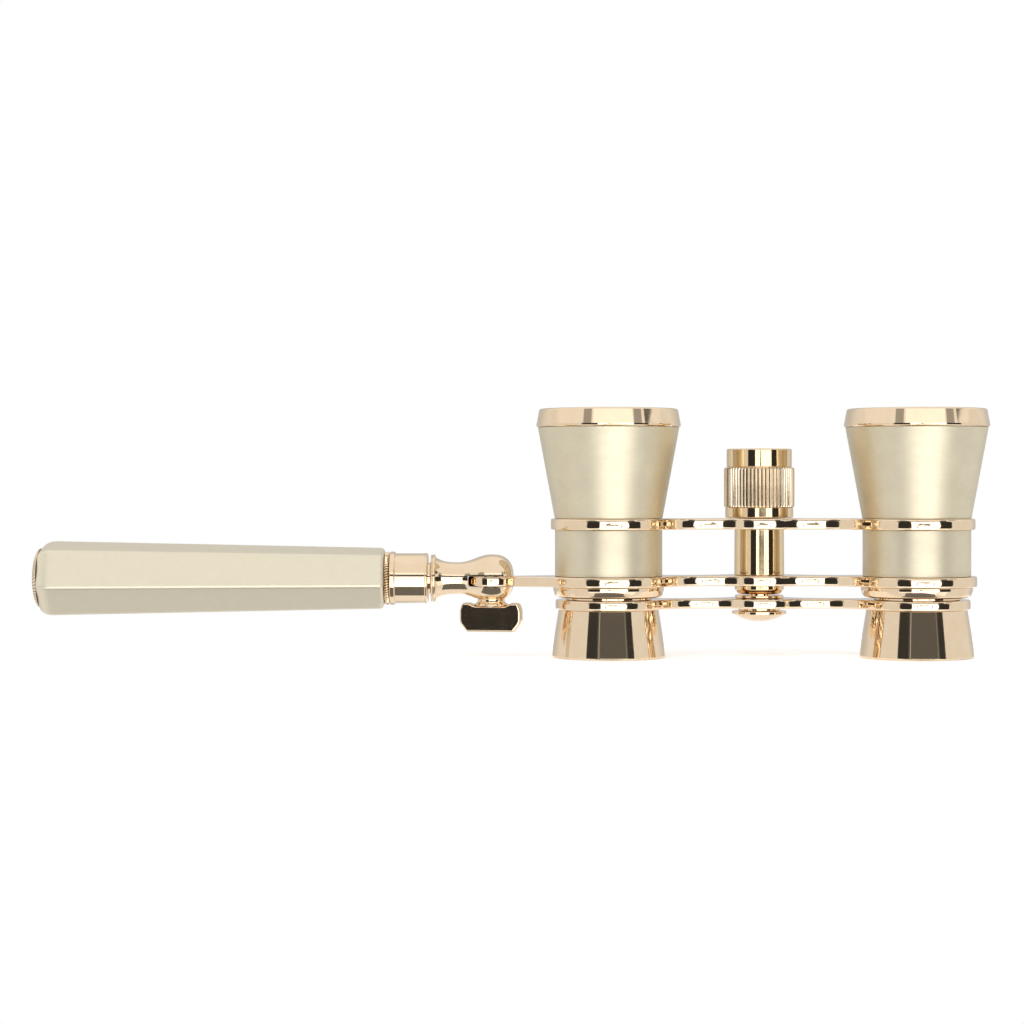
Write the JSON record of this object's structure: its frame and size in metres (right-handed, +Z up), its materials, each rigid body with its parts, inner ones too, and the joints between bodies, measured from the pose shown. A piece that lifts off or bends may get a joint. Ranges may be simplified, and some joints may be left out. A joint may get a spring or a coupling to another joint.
{
  "type": "opera glasses",
  "caption": "Galilean opera glasses with flared objective bells, central focus knob and a folding, extending side handle.",
  "frame": {"origin": "on the surface the eyecups stand on, below the middle of the whole object's box", "axes": "+Z up along the barrels towards the objectives, +X from the handle towards the right barrel, +Y towards the focus knob's side"},
  "size_m": [0.1986, 0.03, 0.0516],
  "materials": {
    "gold_plate": "polished",
    "champagne_satin": "satin",
    "grip_paint": "matte",
    "lens_glass": "polished",
    "black_brass": "matte",
    "plain_steel": "satin",
    "slide_nylon": "matte"
  },
  "bodies": {
    "glasses_frame": {"upper_bridge": "gold_plate", "middle_bridge": "gold_plate", "focus_housing": "gold_plate", "gland_cap": "gold_plate", "left_objective_bell": "champagne_satin", "left_objective_rim": "gold_plate", "left_objective_lens": "lens_glass", "left_objective_lock_ring": "black_brass", "left_waist_tube": "champagne_satin", "left_shoulder_ring": "gold_plate", "right_objective_bell": "champagne_satin", "right_objective_rim": "gold_plate", "right_objective_lens": "lens_glass", "right_objective_lock_ring": "black_brass", "right_waist_tube": "champagne_satin", "right_shoulder_ring": "gold_plate", "knob_washer": "slide_nylon"},
    "eyepiece_carriage": {"eyepiece_bridge": "gold_plate", "left_draw_tube": "gold_plate", "left_eyecup": "gold_plate", "left_eye_lens": "lens_glass", "left_eye_lens_ring": "black_brass", "right_draw_tube": "gold_plate", "right_eyecup": "gold_plate", "right_eye_lens": "lens_glass", "right_eye_lens_ring": "black_brass", "focus_rod": "gold_plate", "rod_washer": "gold_plate", "rod_screw": "gold_plate"},
    "focus_wheel": {"focus_knob": "gold_plate", "focus_knob_cap": "gold_plate", "focus_spindle": "plain_steel", "spindle_nut": "plain_steel"},
    "handle_clevis": {"clevis": "gold_plate", "handle_inner_tube": "gold_plate", "tube_stop": "plain_steel"},
    "thumb_shank": {"thumb_screw_shank": "plain_steel"},
    "thumb_wing": {"thumb_screw_wing": "gold_plate"},
    "handle_bush": {"slide_bush": "slide_nylon"},
    "handle_grip": {"grip": "grip_paint", "grip_end_cap": "gold_plate", "grip_ferrule": "gold_plate", "grip_knurled_ring": "gold_plate"}
  },
  "joints": [
    {"name": "focus_knob_turn", "type": "hinge", "parent": "glasses_frame", "child": "focus_wheel", "pos_m": [0.05235, 0.0076, 0.035], "axis": [0, 0, 1], "range_deg": [0, 540]},
    {"name": "eyepiece_slide", "type": "slide", "parent": "glasses_frame", "child": "eyepiece_carriage", "axis": [0, 0, -1], "range_m": [0, 0.0075]},
    {"name": "handle_swing", "type": "hinge", "parent": "glasses_frame", "child": "handle_clevis", "pos_m": [-0.00405, 0, 0.0164], "axis": [0, 0, 1], "range_deg": [-100, 100]},
    {"name": "thumb_screw_lift", "type": "slide", "parent": "handle_clevis", "child": "thumb_shank", "axis": [0, 0, -1], "range_m": [0, 0.0018]},
    {"name": "thumb_screw_turn", "type": "hinge", "parent": "thumb_shank", "child": "thumb_wing", "pos_m": [-0.00405, 0, 0.0082], "axis": [0, 0, -1], "range_deg": [0, 1080]},
    {"name": "grip_extend", "type": "slide", "parent": "handle_clevis", "child": "handle_bush", "axis": [-1, 0, 0], "range_m": [0, 0.05]},
    {"name": "grip_twist", "type": "hinge", "parent": "handle_bush", "child": "handle_grip", "pos_m": [-0.00405, 0, 0.0164], "axis": [-1, 0, 0], "continuous": true}
  ],
  "couplings": [
    {"joint": "eyepiece_slide", "follows": "focus_knob_turn", "m_per_rad": 0.00079577},
    {"joint": "thumb_screw_turn", "follows": "thumb_screw_lift", "rad_per_m": 10472}
  ]
}
